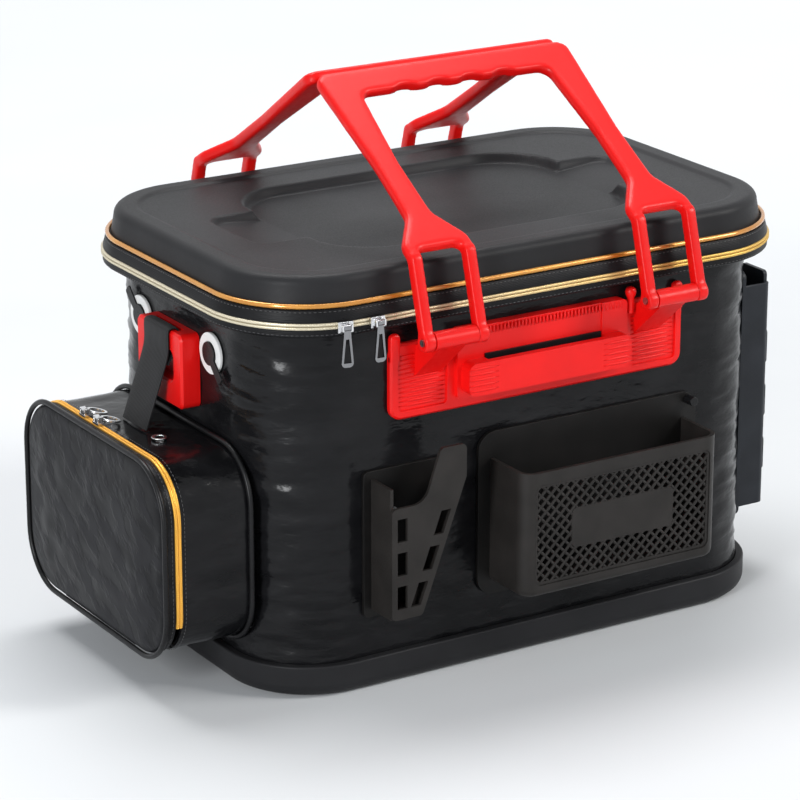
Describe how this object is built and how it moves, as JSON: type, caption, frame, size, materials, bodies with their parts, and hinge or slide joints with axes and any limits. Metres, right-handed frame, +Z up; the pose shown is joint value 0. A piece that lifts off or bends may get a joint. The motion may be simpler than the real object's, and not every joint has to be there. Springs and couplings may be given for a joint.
{
  "type": "fishing bucket",
  "caption": "Soft-walled oblong fishing bucket with a zipped moulded lid, folding bail handles, side bag, mesh pocket, tool holder and rod holder.",
  "frame": {"origin": "centre of the tray's underside", "axes": "+X along the long front from the bag towards the rod holder, +Y to the back, +Z up"},
  "size_m": [0.5337, 0.3542, 0.414],
  "materials": {
    "moulded_foam": "matt, fine grain",
    "laminate": "semi-gloss, wrinkled relief",
    "webbing": "woven",
    "gold_piping": "satin metallic",
    "gold_chain": "satin metallic",
    "red_plastic": "satin",
    "steel": "plain",
    "alloy": "plain",
    "bright_metal": "polished",
    "white_plastic": "satin",
    "black_plastic": "satin",
    "grey_plastic": "matt",
    "slate_plastic": "matt"
  },
  "bodies": {
    "bucket": {"base_tray": "moulded_foam", "body_shell": "laminate", "bag_shell": "laminate", "rim_band": "webbing", "zip_tape_lower": "webbing", "hinge_strip": "webbing", "webbing_loop": "webbing", "bag_hinge_tape": "webbing", "zip_chain_lower": "gold_chain", "bag_zip_back": "gold_chain", "front_bracket": "red_plastic", "rear_bracket": "red_plastic", "side_bracket": "red_plastic", "front_hinge_pins": "steel", "rear_hinge_pins": "steel", "front_bracket_screws": "steel", "rear_bracket_screws": "steel", "side_bracket_screws": "steel", "pocket_rivets": "steel", "holder_rivets": "steel", "rod_rivets": "steel", "front_backing_plate": "alloy", "rear_backing_plate": "alloy", "side_backing_plate": "alloy", "bag_eyelet": "bright_metal", "air_ring_front": "white_plastic", "air_ring_rear": "white_plastic", "bag_piping_back": "black_plastic", "pocket_peg": "black_plastic", "pocket_plate": "grey_plastic", "mesh_pocket": "grey_plastic", "mesh_panel": "grey_plastic", "holder_plate": "grey_plastic", "tool_holder": "grey_plastic", "rod_plate": "slate_plastic", "rod_holder": "slate_plastic"},
    "lid": {"lid_shell": "moulded_foam", "lid_piping": "gold_piping", "zip_tape_upper": "webbing", "zip_chain_upper": "gold_chain"},
    "front_bail": {"front_handle": "red_plastic"},
    "rear_bail": {"rear_handle": "red_plastic"},
    "left_slider": {"zip_slider_left": "bright_metal"},
    "left_pull": {"zip_pull_left": "bright_metal"},
    "right_slider": {"zip_slider_right": "bright_metal"},
    "right_pull": {"zip_pull_right": "bright_metal"},
    "bag_front": {"bag_flap": "laminate", "bag_piping_front": "black_plastic", "bag_zip_front": "gold_chain"},
    "near_bag_slider": {"bag_slider_front": "bright_metal"},
    "near_ring": {"bag_pull_front": "bright_metal"},
    "far_bag_slider": {"bag_slider_rear": "bright_metal"},
    "far_ring": {"bag_pull_rear": "bright_metal"},
    "front_plug": {"air_plug_front": "black_plastic"},
    "rear_plug": {"air_plug_rear": "black_plastic"}
  },
  "joints": [
    {"name": "lid_hinge", "type": "hinge", "parent": "bucket", "child": "lid", "pos_m": [0, 0.1467, 0.27735], "axis": [-1, 0, 0], "range_deg": [0, 105], "deforming": ["hinge_strip"]},
    {"name": "front_handle_fold", "type": "hinge", "parent": "bucket", "child": "front_bail", "pos_m": [0, -0.168, 0.262], "axis": [1, 0, 0], "range_deg": [0, 199.5]},
    {"name": "rear_handle_fold", "type": "hinge", "parent": "bucket", "child": "rear_bail", "pos_m": [0, 0.168, 0.262], "axis": [-1, 0, 0], "range_deg": [0, 199.5]},
    {"name": "left_slider_run", "type": "hinge", "parent": "bucket", "child": "left_slider", "pos_m": [-0.154, -0.071, 0.2772], "axis": [0, 0, -1], "range_deg": [0, 70]},
    {"name": "left_pull_swing", "type": "hinge", "parent": "left_slider", "child": "left_pull", "pos_m": [-0.16833, -0.15225, 0.2772], "axis": [-0.9848, 0.1736, 0], "range_deg": [0, 80]},
    {"name": "right_slider_run", "type": "slide", "parent": "bucket", "child": "right_slider", "axis": [1, 0, 0], "range_m": [0, 0.018]},
    {"name": "right_pull_swing", "type": "hinge", "parent": "right_slider", "child": "right_pull", "pos_m": [-0.143, -0.1535, 0.2772], "axis": [-1, 0, 0], "range_deg": [0, 80]},
    {"name": "bag_flap_hinge", "type": "hinge", "parent": "bucket", "child": "bag_front", "pos_m": [-0.27265, 0.006, 0.035], "axis": [0, -1, 0], "range_deg": [0, 90], "deforming": ["bag_hinge_tape"]},
    {"name": "near_bag_slider_run", "type": "slide", "parent": "bucket", "child": "near_bag_slider", "axis": [0, -1, 0], "range_m": [0, 0.06]},
    {"name": "near_ring_swing", "type": "hinge", "parent": "near_bag_slider", "child": "near_ring", "pos_m": [-0.2725, 0.018, 0.1816], "axis": [0, -1, 0], "range_deg": [0, 150]},
    {"name": "far_bag_slider_run", "type": "slide", "parent": "bucket", "child": "far_bag_slider", "axis": [0, 1, 0], "range_m": [0, 0.017]},
    {"name": "far_ring_swing", "type": "hinge", "parent": "far_bag_slider", "child": "far_ring", "pos_m": [-0.2725, 0.039, 0.1816], "axis": [0, -1, 0], "range_deg": [0, 150]},
    {"name": "front_plug_pull", "type": "slide", "parent": "bucket", "child": "front_plug", "axis": [-1, 0, 0], "range_m": [0, 0.012]},
    {"name": "rear_plug_pull", "type": "slide", "parent": "bucket", "child": "rear_plug", "axis": [-1, 0, 0], "range_m": [0, 0.012]}
  ],
  "couplings": [
    {"joint": "front_handle_fold", "follows": "lid_hinge", "ratio": 1.9},
    {"joint": "rear_handle_fold", "follows": "lid_hinge", "ratio": 1.9}
  ]
}
